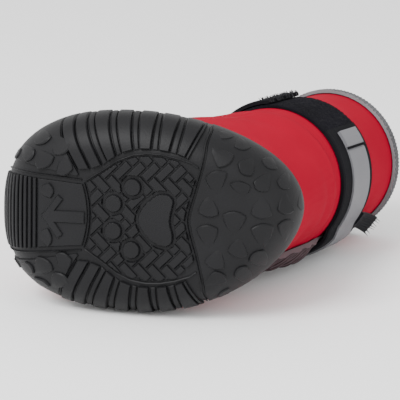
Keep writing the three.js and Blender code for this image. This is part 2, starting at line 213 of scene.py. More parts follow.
def finish_piece(piece, name, nodes, smooth=40):
    piece.name = piece.data.name = name
    bpy.ops.object.shade_smooth_by_angle(angle=math.radians(smooth))
    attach(piece, "root")
    for node in nodes:
        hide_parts(node)
    print(name, len(piece.data.polygons), "faces")
    return piece


def new_grid(across, along):
    bpy.ops.object.select_all(action="DESELECT")
    bpy.ops.mesh.primitive_grid_add(x_subdivisions=across, y_subdivisions=along, size=1)
    return bpy.context.object


def grid_uv(piece):
    co = np.empty(len(piece.data.vertices) * 3)
    piece.data.vertices.foreach_get("co", co)
    co = co.reshape(-1, 3)
    return co[:, 0] + 0.5, co[:, 1] + 0.5


def lay(piece, points):
    piece.data.vertices.foreach_set("co", to_scene(points).ravel())
    piece.data.update()


def keep_uv(piece, u, v):
    """The sheet's own flat millimetres are kept as a UV map for weaves and stitches."""
    layer = piece.data.uv_layers.active or piece.data.uv_layers.new(name="cloth")
    loops = np.empty(len(piece.data.loops), dtype=np.int32)
    piece.data.loops.foreach_get("vertex_index", loops)
    layer.data.foreach_set("uv", np.stack([u, v], -1)[loops].ravel())


def outward(mesh):
    """Faces of a closed mesh point outwards."""
    bmesh.ops.recalc_face_normals(mesh, faces=mesh.faces[:])
    if mesh.calc_volume(signed=True) < 0:
        bmesh.ops.reverse_faces(mesh, faces=mesh.faces[:])


def bare_slab(across, along, inner, outer, uv=(1, 1)):
    """Closed sheet between two functions of (u, v), each giving boot millimetres."""
    piece = new_grid(across, along)
    u, v = grid_uv(piece)
    keep_uv(piece, u * uv[0], v * uv[1])
    low, high = to_scene(inner(u, v)), to_scene(outer(u, v))
    mesh = bmesh.new()
    mesh.from_mesh(piece.data)
    rim = [e for e in mesh.edges if e.is_boundary]
    copy = bmesh.ops.duplicate(mesh, geom=mesh.verts[:] + mesh.edges[:] + mesh.faces[:])
    twin = copy["vert_map"]
    mesh.verts.ensure_lookup_table()
    for i, point in enumerate(mesh.verts[: len(u)]):
        point.co, twin[point].co = high[i], low[i]
    for edge in rim:
        a, b = edge.verts
        mesh.faces.new([a, b, twin[b], twin[a]])
    outward(mesh)
    mesh.to_mesh(piece.data)
    mesh.free()
    return piece


def close_tube(piece):
    """Joins the two ends of a sheet that runs all round, and drops the walls left between them."""
    mesh = bmesh.new()
    mesh.from_mesh(piece.data)
    bmesh.ops.remove_doubles(mesh, verts=mesh.verts[:], dist=SEAM_GAP)
    seen, inside = {}, []
    for face in mesh.faces:
        key = tuple(sorted(v.index for v in face.verts))
        if key in seen:
            inside += [face, seen[key]]
        seen[key] = face
    bmesh.ops.delete(mesh, geom=list(set(inside)), context="FACES")
    bmesh.ops.recalc_face_normals(mesh, faces=mesh.faces[:])
    mesh.to_mesh(piece.data)
    mesh.free()
    return piece


def slab(name, across, along, inner, outer, nodes=(), uv=(1, 1), smooth=40):
    return finish_piece(bare_slab(across, along, inner, outer, uv), name, nodes, smooth)


# %% [markdown]
# The tread pattern
#
# A moulded tread is one piece of rubber, but its pattern is easiest to see as blocks that stand on a
# smooth cup: ribs down both sides, a toe panel with an arrow, panels with petal lugs at toe sides and
# heel, and a paw field in the middle. Each block is a small closed sheet with a narrow rounded edge,
# which gives the crisp light lines and dark grooves of pressed rubber with few faces.


# %% Lines that part the zones
def field_edge(x):
    """Half width of the paw field."""
    along = [-15, -13.1, -11, -6.5, -1.9, 2.6, 7, 11.5, 16.1, 22, 26]
    return np.interp(x, along, [14.8, 15.4, 16.9, 18.3, 19.2, 19.4, 18.8, 17, 13.8, 10.1, 8])


def toe_line(y):
    return 20.1 + 1.9 * (y / 10) ** 2


HEEL_FLARE, FLARE_FROM, FLARE_TO = 2.6, 21, 31


def heel_line(y):
    return -9.9 - 4.4 * ease(0, 21, np.abs(y)) ** 0.75


def heel_flare(y):
    """The heel edge turns back toward both flanks."""
    return HEEL_FLARE * ease(FLARE_FROM, FLARE_TO, np.abs(y))


def on_tread(x, y, high):
    """A plan point wrapped onto the rubber, at a height above it."""
    return tread_point(np.arctan2(y, x - BALL), np.hypot(x - BALL, y), high)


def rim_run(angle, below=0.0):
    """How far the rubber runs from the ball point to its top edge."""
    return outline(angle) - FLANK + ARC + SIDEWALL - below


def rim_point(angle, below):
    run = rim_run(angle, below)
    return np.stack([BALL + run * np.cos(angle), run * np.sin(angle)], -1)


def to_rim(start, through, below):
    """Where the line from start through another point comes to the rim."""
    start, through = np.array(start, float), np.array(through, float)
    reach = np.linspace(0, 4, 800)[:, None]
    spots = start + reach * (through - start)
    angle = np.arctan2(spots[:, 1], spots[:, 0] - BALL)
    over = np.hypot(spots[:, 0] - BALL, spots[:, 1]) > rim_run(angle, below)
    return spots[np.argmax(over)]


# %% [markdown]
# One block
#
# A block is drawn in plan between two functions, with its height on top. Rows of points are crowded
# near the edges, so the edge is round and narrow while the face stays coarse.

# %% Block helper
EDGE, FOOT, UNDERSIDE = 0.34, -0.35, 0.3
WIDEST_EDGE = 0.24


def crowd(t, cells, edge):
    """Even steps, with two narrow ones at each end."""
    edge = min(edge, WIDEST_EDGE)
    rows = [0, 1, 2, cells - 2, cells - 1, cells]
    return np.interp(t * cells, rows, [0, edge / 3, edge, 1 - edge, 1 - edge / 3, 1])


def roll_off(t, edge):
    edge = min(edge, WIDEST_EDGE)
    near = np.minimum(t, 1 - t)
    return np.interp(near, [0, edge / 3, edge], [0, 0.8, 1])


def block(plan, height, cells, size):
    """plan gives x, y of (u, v); size is the block's rough width and length in mm."""
    across, along = cells
    edge_u, edge_v = EDGE / size[0], EDGE / size[1]

    def face(high_side):
        def laid(u, v):
            s, t = crowd(u, across, edge_u), crowd(v, along, edge_v)
            x, y = plan(s, t)
            up = np.minimum(roll_off(s, edge_u), roll_off(t, edge_v))
            top = FOOT + (height(s, t) - FOOT) * up
            return on_tread(x, y, top if high_side else np.full(x.shape, FOOT - UNDERSIDE))

        return laid

    return bare_slab(across, along, face(False), face(True))


def join(pieces, name, nodes, smooth=30):
    """Blocks of one kind become one piece."""
    bpy.ops.object.select_all(action="DESELECT")
    for piece in pieces:
        piece.select_set(True)
    bpy.context.view_layer.objects.active = pieces[0]
    if len(pieces) > 1:
        bpy.ops.object.join()
    return finish_piece(bpy.context.object, name, nodes, smooth)


def level_height(high):
    return lambda u, v: np.full(u.shape, float(high))


def between(a, b):
    """Plan between two straight lines, each a pair of points."""
    (a0, a1), (b0, b1) = np.array(a, float), np.array(b, float)

    def plan(u, v):
        u, v = u[:, None], v[:, None]
        spot = (a0 * (1 - u) + b0 * u) * (1 - v) + (a1 * (1 - u) + b1 * u) * v
        return spot[:, 0], spot[:, 1]

    return plan


# %% [markdown]
# Side ribs
#
# Seven broad ribs go over each side, with a lower narrow strip and two thin grooves between them.
# Their lines fan out from the paw field to the rim, so they are given as two points each.

# %% Ribs
RIB_LINES = dict(
    columns=("x at the field", "y at the field", "x outside", "y outside"),
    rows=[
        (23.6, 13.4, 36.1, 34.4), (19.9, 13.6, 32.4, 36.6),
        (19.5, 13.8, 31.9, 36.6), (16.2, 14.9, 28.2, 37.3),
        (14.5, 16.1, 25.4, 37.3), (11.9, 17.9, 19.4, 37.5), (10.2, 18.9, 16.7, 37.5), (6.8, 19.9, 11.2, 38.5),
        (4.9, 20.2, 8.0, 36.9), (1.5, 20.3, 1.4, 35.7), (-0.8, 20.1, -0.3, 34.9), (-4.0, 19.7, -6.1, 32.0),
        (-6.4, 19.1, -8.7, 33.8), (-8.8, 18.3, -14.1, 30.4),
        (-10.6, 17.6, -16.4, 30.4), (-13.4, 16.4, -18.9, 30.3),
    ],
)
RIBS = [(0, 1), (2, 3), (4, 5), (6, 7), (8, 9), (10, 11), (12, 13)]
STRIPS = [(3, 4), (5, 6), (7, 8), (9, 10), (11, 12)]
RIB_HIGH, STRIP_HIGH, PLAIN_EDGE = 1.25, 0.6, 2.2


def rib_side(row, shift, side, below):
    x0, y0, x1, y1 = RIB_LINES["rows"][row]
    start = np.array([x0 + shift, side * (y0 + 0.2)])
    return start, to_rim(start, (x1 + shift, side * y1), below)


def rib_height(u, v):
    """Ribs thin out toward the sidewall, where the boot rests."""
    return RIB_HIGH - 0.55 * ease(0.6, 1, v)


ribs = []
for side in (1, -1):
    for first, last in RIBS:
        lines = rib_side(first, -0.12, side, PLAIN_EDGE), rib_side(last, 0.12, side, PLAIN_EDGE)
        ribs.append(block(between(*lines), rib_height, (8, 34), (4, 20)))
    for first, last in STRIPS:
        lines = rib_side(first, -0.16, side, PLAIN_EDGE + 1), rib_side(last, 0.16, side, PLAIN_EDGE + 1)
        ribs.append(block(between(*lines), level_height(STRIP_HIGH), (6, 30), (1.6, 20)))
    lines = rib_side(13, -0.16, side, PLAIN_EDGE + 1), rib_side(14, 0.9, side, PLAIN_EDGE + 1)
    ribs.append(block(between(*lines), level_height(STRIP_HIGH + 0.2), (6, 30), (1.6, 18)))
side_ribs = join(ribs, "tread_side_ribs", ["outsole"])

# %% [markdown]
# Panels
#
# The toe sides and the heel are smooth raised panels that carry the petal lugs. The toe has its own
# panel with an arrow, and thin bars go across its tip.

# %% Panels, bars and arrow
PANEL_HIGH = 0.62
panels = []


def fan_panel(side):
    corner = np.array([23.4, side * 11.6])
    low, high = math.radians(19.5), math.radians(49.6)

    def plan(u, v):
        rim = rim_point(side * (low + (high - low) * u), 1.6)
        spot = corner + (rim - corner) * (0.02 + 0.98 * v[:, None])
        return spot[:, 0], spot[:, 1]

    return block(plan, level_height(PANEL_HIGH), (30, 30), (22, 36))


def heel_panel():
    ends = math.radians(128.5)

    def plan(u, v):
        y = 31.2 * (1 - 2 * u)
        start = np.stack([heel_line(y) - 0.75 - heel_flare(y), y], -1)
        rim = rim_point(ends + (2 * math.pi - 2 * ends) * u, 1.6)
        spot = start + (rim - start) * v[:, None]
        return spot[:, 0], spot[:, 1]

    return block(plan, level_height(PANEL_HIGH), (90, 60), (60, 40))


def toe_panel():
    def plan(u, v):
        y = (2 * v - 1) * (9.3 + 1.3 * u)
        return toe_line(y) + 0.7 + (37.1 - toe_line(y) - 0.7) * u, y

    return block(plan, level_height(PANEL_HIGH), (20, 24), (16, 20))


def toe_bar(x, wide, high):
    def plan(u, v):
        half = 10.7 + 0.09 * (x - 37.3)
        return x + wide * u + 0 * v, (2 * v - 1) * half

    return block(plan, level_height(high), (5, 40), (wide, 22))


def stripe(start, end, wide, high):
    """Straight raised bar between two points."""
    start, end = np.array(start, float), np.array(end, float)
    side = np.array([start[1] - end[1], end[0] - start[0]])
    side *= wide / 2 / np.hypot(*side)
    plan = between((start - side, end - side), (start + side, end + side))
    return block(plan, level_height(high), (6, 12), (wide, np.hypot(*(end - start))))


panels += [fan_panel(1), fan_panel(-1), heel_panel(), toe_panel()]
BAR_STEP = 1.62
panels += [toe_bar(37.5 + k * BAR_STEP, 1.22, 0.85) for k in range(12)]
ARROW_HIGH = 1.2
panels.append(stripe((21.4, -0.7), (33.2, -0.7), 3.9, ARROW_HIGH))
panels.append(stripe((34.9, -1.9), (29.3, 5.3), 2.5, ARROW_HIGH))
panels.append(stripe((34.9, 0.5), (29.3, -6.9), 2.5, ARROW_HIGH - 0.02))


# %% [markdown]
# Thin rails
#
# A thin raised line runs along every zone, with a groove on both of its sides.

# %% Rails
def rail(line, count, wide=0.42, high=0.62):
    """line gives x, y along it for t from 0 to 1."""

    def plan(u, v):
        x, y = line(v)
        x2, y2 = line(v + 0.002)
        dx, dy = x2 - x, y2 - y
        long = np.hypot(dx, dy)
        off = (u - 0.5) * wide
        return x - dy / long * off, y + dx / long * off

    return block(plan, level_height(high), (4, count), (wide, 30))


def field_rail(side):
    def line(t):
        x = 21.6 - 34.6 * t
        return x, side * (field_edge(x) - 0.1)

    return rail(line, 60)


def toe_rail(t):
    y = -9.8 + 19.6 * t
    return toe_line(y) + 0.05, y


def heel_rail(t):
    y = -30 + 60 * t
    return heel_line(y) + 0.1 - heel_flare(y), y


def zone_rail(side):
    start, end = rib_side(0, 0.65, side, 1.2)
    return rail(lambda t: tuple((start + (end - start) * t[:, None]).T), 40)


def panel_rail(side):
    def line(t):
        x = 22.6 + 34 * t
        return x, side * (10.3 + 0.09 * (x - 22) + 0.2)

    return rail(line, 50)


panels += [rail(toe_rail, 30), rail(heel_rail, 60)]
for side in (1, -1):
    panels += [field_rail(side), zone_rail(side), panel_rail(side)]
tread_panels = join(panels, "tread_panels", ["outsole"])

# %% [markdown]
# Petal lugs
#
# Each lug is a petal: a pointed foot that rises out of the panel to a round, steep end. The steep end
# throws the small dark crescents that make this tread lively. They turn every way, so each has its
# own three points: the foot and both ends of its round edge.

# %% Petals
PETALS = dict(
    columns=("foot", "end of the round edge", "other end"),
    rows=[
        ((-16.2, 21.4), (-18.5, 15.4), (-22.6, 19.0)), ((-18.4, 27.9), (-19.0, 24.2), (-24.1, 26.9)),
        ((-26.0, 26.2), (-22.8, 21.6), (-28.6, 21.6)), ((-28.6, 17.6), (-23.9, 16.5), (-28.0, 12.4)),
        ((-35.6, 18.4), (-31.0, 17.0), (-36.1, 13.7)), ((-18.7, 7.6), (-15.0, 12.8), (-21.3, 14.0)),
        ((-26.2, 6.8), (-22.2, 10.6), (-28.0, 9.6)), ((-33.4, 13.2), (-28.5, 10.8), (-32.5, 7.6)),
        ((-41.2, 13.0), (-35.3, 10.4), (-39.4, 7.2)), ((-31.3, 6.9), (-28.4, 1.6), (-34.0, 0.4)),
        ((-38.0, 6.6), (-35.4, 1.6), (-40.8, 0.5)), ((-45.2, 6.4), (-42.2, 1.6), (-47.2, -0.2)),
        ((-16.2, 7.4), (-13.1, 2.8), (-19.4, 1.8)), ((-23.5, -4.6), (-20.3, 1.7), (-27.3, 0.8)),
        ((-16.8, -8.3), (-12.7, -2.5), (-19.2, -2.4)), ((-32.0, -9.4), (-28.4, -3.0), (-34.5, -3.0)),
        ((-38.9, -9.6), (-35.5, -3.0), (-41.0, -3.0)), ((-46.0, -9.4), (-42.6, -3.6), (-48.0, -4.6)),
        ((-25.3, -5.4), (-22.0, -9.0), (-27.6, -10.8)), ((-19.8, -8.5), (-15.4, -12.0), (-21.0, -14.2)),
        ((-33.8, -16.4), (-27.6, -12.8), (-32.0, -9.9)), ((-30.4, -23.4), (-23.4, -17.3), (-27.1, -14.2)),
        ((-14.8, -19.6), (-18.4, -14.9), (-21.2, -19.1)), ((-41.0, -17.6), (-35.4, -16.0), (-39.4, -11.6)),
        ((-24.6, -28.6), (-19.0, -26.6), (-22.4, -21.8)), ((-36.6, -23.0), (-32.2, -24.6), (-33.6, -18.9)),
        ((-28.6, -31.0), (-24.8, -33.6), (-30.8, -35.6)),
        ((-41.6, 21.4), (-38.2, 17.2), (-43.2, 16.4)),
        ((-47.0, 14.8), (-44.0, 10.4), (-49.0, 9.6)), ((-44.6, -20.6), (-43.0, -15.0), (-47.6, -14.0)),
    ],
    toe=[
        ((40.6, 32.2), (34.6, 26.0), (30.2, 27.6)), ((32.9, 23.5), (31.3, 17.6), (25.9, 21.0)),
        ((41.3, 26.0), (39.3, 20.3), (33.4, 22.8)), ((38.4, 18.9), (36.9, 13.2), (31.4, 17.2)),
        ((46.8, 20.2), (41.4, 15.1), (38.6, 18.9)), ((28.3, 18.2), (30.9, 12.2), (25.3, 13.7)),
        ((49.6, 26.4), (47.6, 20.6), (43.0, 23.8)), ((43.6, 33.6), (44.0, 28.0), (38.8, 30.6)),
        ((52.6, 19.8), (48.6, 15.8), (46.2, 19.0)),
    ],
    arrow=[((36.9, 6.9), (33.2, 9.4), (32.7, 4.6)), ((36.9, -6.6), (33.5, -4.4), (33.2, -10.2))],
)


def petal(foot, end, other, low, high):
    foot, end, other = (np.array(p, float) for p in (foot, end, other))
    middle = (end + other) / 2
    push = (middle - foot) / np.hypot(*(middle - foot))

    def plan(u, v):
        open_out = 0.06 + 0.94 * np.sin(v * math.pi / 2) ** 0.9
        spread_at = foot + (middle - foot) * v[:, None] + (other - end) * ((u - 0.5) * open_out)[:, None]
        spot = spread_at + push * (1.5 * (1 - (2 * u - 1) ** 2) * v**3)[:, None]
        return spot[:, 0], spot[:, 1]

    def height(u, v):
        crest = 0.22 * (1 - np.abs(2 * u - 1)) - 0.1
        return low + (high - low) * v**1.3 + crest * (1 - v)

    run = np.hypot(middle[0] - BALL, middle[1])
    inside = rim_run(np.arctan2(middle[1], middle[0] - BALL)) - run
    high = low + (high - low) * (0.35 + 0.65 * ease(5, 14, inside))
    return block(plan, height, (8, 9), (4.2, 5.5))


def within_rim(row, margin=1.6):
    x, y = np.array(row).T
    return bool(np.all(np.hypot(x - BALL, y) < rim_run(np.arctan2(y, x - BALL), margin)))


PETAL_FOOT = PANEL_HIGH - 0.05
HEEL_PETAL, TOE_PETAL, ARROW_PETAL = PANEL_HIGH + 0.85, PANEL_HIGH + 0.8, PANEL_HIGH + 0.75
lugs = [petal(*row, PETAL_FOOT, HEEL_PETAL) for row in PETALS["rows"] if within_rim(row)]
for side in (1, -1):
    for row in filter(within_rim, PETALS["toe"]):
        lugs.append(petal(*[(x, side * y) for x, y in row], PETAL_FOOT, TOE_PETAL))
lugs += [petal(*row, PETAL_FOOT, ARROW_PETAL) for row in PETALS["arrow"]]
tread_petals = join(lugs, "tread_petals", ["outsole"])

# %% [markdown]
# Paw field
#
# The middle is a herringbone of small blocks with a plain paw print let into it: four round toe pads
# and a main pad, each in its own ring groove. A fine sheet turned by 45 degrees takes it best, because
# its rows then run along the blocks' edges.

# %% Pads and herringbone
TOE_PADS = [(6.9, 9.2), (12.7, 4.0), (12.7, -4.2), (7.0, -9.6)]
PAD_RADIUS, RING_WIDE = 2.75, 0.85
MAIN_PAD = [
    (5.2, -0.3), (4.7, 1.8), (3.7, 3.6), (2.3, 5.2), (0.7, 6.5),
    (-0.8, 7.5), (-2.3, 7.8), (-3.9, 7.7), (-5.0, 7.0),
    (-5.7, 6.2), (-5.9, 5.2), (-5.5, 3.4), (-5.1, 1.7), (-4.8, -0.4), (-5.1, -2), (-5.5, -3.3), (-5.8, -4.5),
    (-5.8, -5.7), (-5.6, -6.8), (-5.0, -7.5), (-4, -8.1),
    (-2.9, -8.2), (-1.2, -7.8), (0.5, -6.9), (2.2, -5.5),
    (3.6, -3.8), (4.7, -2.2),
]
BRICK = 3.05
RING_FLOOR, TOE_PAD_HIGH, MAIN_PAD_HIGH, PAD_EDGE = -0.15, 1.05, 1.1, 0.35


def outline_distance(x, y, points):
    """Signed distance to a closed outline, negative inside."""
    far = np.full(x.shape, 1e9)
    inside = np.zeros(x.shape, bool)
    for (ax, ay), (bx, by) in zip(points, points[1:] + points[:1]):
        dx, dy = bx - ax, by - ay
        t = np.clip(((x - ax) * dx + (y - ay) * dy) / (dx * dx + dy * dy), 0, 1)
        far = np.minimum(far, np.hypot(x - ax - t * dx, y - ay - t * dy))
        crosses = (ay > y) != (by > y)
        inside ^= crosses & (x < (bx - ax) * (y - ay) / (by - ay + 1e-12) + ax)
    return np.where(inside, -far, far)


def herringbone(a, b):
    """Bricks two cells long, laid both ways, with a groove round each."""
    i, j = np.floor(a / BRICK), np.floor(b / BRICK)
    p, q = a - i * BRICK, b - j * BRICK
    kind = np.mod(i - j, 4)
    to_left = np.where(kind == 1, 9, p)
    to_right = np.where(kind == 0, 9, BRICK - p)
    to_low = np.where(kind == 2, 9, q)
    to_high = np.where(kind == 3, 9, BRICK - q)
    away = np.minimum(np.minimum(to_left, to_right), np.minimum(to_low, to_high))
    lean = np.where(kind < 2, (p + BRICK * (kind == 1)), (q + BRICK * (kind == 2))) / (2 * BRICK)
    return 0.12 + ease(0.18, 0.5, away) * (0.5 + 0.32 * lean)


def field_height(x, y, a, b):
    high = herringbone(a, b)
    for cx, cy in TOE_PADS:
        away = np.hypot(x - cx, y - cy)
        high = np.where(away < PAD_RADIUS + RING_WIDE, RING_FLOOR, high)
        pad = TOE_PAD_HIGH * (1 - ease(PAD_RADIUS - PAD_EDGE, PAD_RADIUS, away))
        high = np.where(away < PAD_RADIUS, RING_FLOOR + pad, high)
    away = outline_distance(x, y, MAIN_PAD)
    high = np.where(away < RING_WIDE, RING_FLOOR, high)
    high = np.where(away < 0, RING_FLOOR + MAIN_PAD_HIGH * ease(0, PAD_EDGE, -away), high)
    inside = np.minimum(np.minimum(toe_line(y) - x, x - heel_line(y)), field_edge(x) - np.abs(y))
    return FOOT + (high - FOOT) * ease(0.62, 0.9, inside)


FIELD_AT, FIELD_REACH, FIELD_CELLS = 4.6, 20.3, 186
TURN = math.sqrt(0.5)


def paw_face(top):
    def laid(u, v):
        a, b = (2 * u - 1) * FIELD_REACH, (2 * v - 1) * FIELD_REACH
        x, y = FIELD_AT + (a + b) * TURN, (a - b) * TURN
        return on_tread(x, y, field_height(x, y, a, b) if top else np.full(x.shape, FOOT - UNDERSIDE))

    return laid


field_sheet = bare_slab(FIELD_CELLS, FIELD_CELLS, paw_face(False), paw_face(True))
paw_field = join([field_sheet], "tread_paw_field", ["outsole"])

# %% [markdown]
# The rubber cup
#
# Under the pattern, the sole is a square grid squeezed into the sole's outline and wrapped over the
# flank. Its open edge is then led inwards and down ring by ring, so the cup has a real wall and an
# inside floor under the insole.

# %% Make the cup
CUP_CELLS = 120
HALF_LENGTH = (TOE + HEEL) / 2
CUP_FLOOR = [("rim", 0), ("bend", 1), ("bend", 0.7), ("bend", 0.4), ("bend", 0), ("floor", 0.5)]


def round_grid(u, v):
    """A square grid rounded into a disc for the sole: the angle, and the share of the way out."""
    a, b = 2 * u - 1, 2 * v - 1
    p, q = a * np.sqrt(1 - b * b / 2), b * np.sqrt(1 - a * a / 2)
    return np.arctan2(q * HALF_WIDTH / HALF_LENGTH, p), np.hypot(p, q)


def cup_ring(kind, share, angles):
    if kind == "rim":
        return place(angles, outline(angles) - RUBBER, FLANK + SIDEWALL)
    if kind == "bend":
        bend, inner = share * math.pi / 2, FLANK - RUBBER
        return place(angles, outline(angles) - FLANK + inner * np.sin(bend), FLANK - inner * np.cos(bend))
    return place(angles, share * (outline(angles) - FLANK), RUBBER)


def make_cup():
    piece = new_grid(CUP_CELLS, CUP_CELLS)
    u, v = grid_uv(piece)
    angle, share = round_grid(u, v)
    run = share * rim_run(angle)
    lay(piece, tread_point(angle, run, np.zeros(run.shape)))
    mesh = bmesh.new()
    mesh.from_mesh(piece.data)
    pairs = [tuple(vert.index for vert in e.verts) for e in mesh.edges if e.is_boundary]
    index = sorted({i for pair in pairs for i in pair})
    mesh.verts.ensure_lookup_table()
    ring = {i: mesh.verts[i] for i in index}
    for kind, share in CUP_FLOOR:
        spots = to_scene(cup_ring(kind, share, angle[index]))
        made = {i: mesh.verts.new(spot) for i, spot in zip(index, spots)}
        for i, j in pairs:
            mesh.faces.new([ring[i], ring[j], made[j], made[i]])
        ring = made
    middle = mesh.verts.new(to_scene(place(np.array(0.0), 0.0, RUBBER)))
    for i, j in pairs:
        mesh.faces.new([ring[i], ring[j], middle])
    outward(mesh)
    mesh.to_mesh(piece.data)
    mesh.free()
    return finish_piece(piece, "outsole_cup", ["outsole"], 50)


outsole = make_cup()

# %% [markdown]
# Footbed
#
# The insole is a flat foam sole that lies in the cup. It is the same square grid squeezed into an
# outline, narrower at its foot than on top because the cup is round inside, with a soft dip where
# the paw presses it.

# %% Make the footbed
INSOLE_THICK, INSOLE_FOOT, INSOLE_TOP, INSOLE_DIP = 3, 11.2, 7.6, 0.4


def footbed_face(reach, height, dip):
    def laid(u, v):
        angle, share = round_grid(u, v)
        return place(angle, share * (outline(angle) - reach), height - dip * (1 - share**2) ** 2)

    return laid


BED = RUBBER + GAP
insole = slab(
    "insole_foam_bed", 60, 60, footbed_face(INSOLE_FOOT, BED, 0),
    footbed_face(INSOLE_TOP, BED + INSOLE_THICK, INSOLE_DIP), ["insole"], (0.9, 0.6),
)

# %% [markdown]
# The neoprene upper
#
# Neoprene is thick and rubbery, so it shows few folds: a soft hollow behind the heel, a slight pull
# under the strap and a shallow crease over the instep. These are placed as soft troughs and ridges
# on the skin. The solid's throat slot isn't cut here, and the gusset lies over its place.

# %% Creases of the upper
CREASES = dict(
    columns=("step", "level", "step_wide", "level_wide", "high"),
    rows=[
        (14, 6.1, 5, 0.22, 0.35), (15, 5.3, 6, 0.3, -0.35), (24, 6.5, 5, 0.16, -0.3), (30, 6.2, 6, 0.2, 0.3),
        (34, 5.4, 6, 0.35, -0.4), (39, 6.55, 4, 0.15, -0.35), (0, 5.6, 7, 0.2, -0.5), (0, 5.0, 8, 0.2, 0.35),
        (58, 5.3, 4, 0.25, -0.35), (8, 5.2, 4, 0.25, -0.3), (22, 8.5, 6, 0.2, 0.2), (38, 8.4, 6, 0.2, 0.25),
    ],
)


def crease(step, level):
    high = np.zeros(step.shape)
    for at_step, at_level, wide, tall, k in CREASES["rows"]:
        away = np.abs(np.mod(step - at_step + SIDES / 2, SIDES) - SIDES / 2)
        high += k * np.exp(-((away / wide) ** 2) - ((level - at_level) / tall) ** 2)
    return high


def squeeze(level):
    """The cloth swells a little just below and just above the strap."""
    low, high = shaft_level(0), shaft_level(STRAP_WIDTH)
    below = 0.25 * np.exp(-(((level - low + 0.1) / 0.09) ** 2))
    return below + 0.2 * np.exp(-(((level - high - 0.1) / 0.09) ** 2))


def seam(step, level):
    """Glued butt seam down the left side of the upper."""
    away = np.abs(step - 15.5 - 0.5 * (level - 4))
    return -0.22 * np.exp(-((away / 0.12) ** 2)) * (level < shaft_level(-1))


def upper_out(step, level):
    keep = ease(1.9, 2.6, level) * (1 - ease(8.6, 8.8, level))
    return (crease(step, level) + squeeze(level) + seam(step, level)) * keep


# %% Gusset sizes
GUSSET = dict(mid=46.5, half=6.2, low=3.05, top=shaft_level(33), pleats=9, deep=0.8, thick=2.2)


def gusset_half(level):
    return GUSSET["half"] * (0.72 + 0.28 * ease(3, 6, level))


def make_upper():
    def outer(u, v):
        step, level = u * SIDES, v * LEVELS
        return on_upper(step, level, upper_out(step, level))

    def inner(u, v):
        return on_upper(u * SIDES, v * LEVELS, np.full(u.shape, -WALL))

    piece = slab("upper_neoprene", 192, 220, inner, outer, ["upper"], (1.5, 1.2))
    return close_tube(piece)


upper = make_upper()

# %% [markdown]
# Mesh gusset
#
# A folded mesh wedge closes the throat, so the leg can pass when the strap is open. Its pleats run
# across it with one long fold, and its rounded tip pokes out above the strap.


# %% Make the gusset
def gusset_outer(u, v):
    level = GUSSET["low"] + (GUSSET["top"] - GUSSET["low"]) * v
    half = gusset_half(level) * np.sqrt(np.maximum(0.06, 1 - (2 * v - 1) ** 8))
    edge = np.sin(math.pi * np.clip(u, 0.06, 0.94)) ** 0.6
    under = ease(shaft_level(-5), shaft_level(0), level)
    bulge = 2.6 * (1 - under) * ease(GUSSET["low"], 4.4, level)
    fold = GUSSET["deep"] * (1 - under) * np.cos(2 * math.pi * GUSSET["pleats"] * v)
    fine = 0.22 * (1 - under) * np.cos(2 * math.pi * 4 * GUSSET["pleats"] * v)
    pinch = -1.2 * (1 - under) * np.exp(-(((u - 0.42) / 0.09) ** 2))
    out = GAP + 0.2 + (bulge + GUSSET["thick"] - 1.2 + fold + fine + pinch) * edge
    tip = ease(shaft_level(STRAP_WIDTH + 0.8), shaft_level(STRAP_WIDTH + 3), level) * 1.45 * edge
    high = np.minimum(out, out + (1.5 - out) * under) + tip
    return GUSSET["mid"] + (2 * u - 1) * half, level, high


def make_gusset():
    def outer(u, v):
        return on_upper(*gusset_outer(u, v))

    def inner(u, v):
        step, level, _ = gusset_outer(u, v)
        return on_upper(step, level, np.full(u.shape, GAP))

    return slab("gusset_mesh", 60, 300, inner, outer, ["gusset"], (0.3, 0.8))


gusset = make_gusset()

# %% [markdown]
# Bands round the shaft
#
# Loop tape, strap and reflective tape are flat webbing bent round the shaft. Each is one thin closed
# sheet laid on the same skin, a hair above the one below it, with its raised edge or stitch line in
# the outer face.

# %% Band helper
LOOP_FROM, LOOP_TO, STRAP_FROM, STRAP_TO = -8, 23.95, 24, 79
LAP_START, LAP_END = 53, 55.4


def over_gusset(step):
    near = np.abs(step - GUSSET["mid"])
    return 1.5 * (1 - ease(GUSSET["half"] - 0.2, GUSSET["half"] + 2.2, near))


def strap_in(step):
    over_loop = (LOOP_THICK + GAP) * ease(LAP_START, LAP_END, step)
    return GAP + np.maximum(over_gusset(step), over_loop)


def band(name, start, end, low, high, inner, outer, cells, nodes, uv):
    def place_at(face):
        def laid(u, v):
            step = start + (end - start) * u
            return on_upper(step, shaft_level(low + (high - low) * v), face(step, u, v))

        return laid

    return slab(name, *cells, place_at(inner), place_at(outer), nodes, uv, 35)


def cloth_noise(u, v, size, seed):
    """Repeatable fuzz from a seeded table of small heights."""
    table = np.random.default_rng(seed).random((64, 256))
    return table[(v * size).astype(int) % 64, (u * size * 4).astype(int) % 256]


def selvedge(v):
    return ease(0, 0.035, v) * (1 - ease(0.965, 1, v))


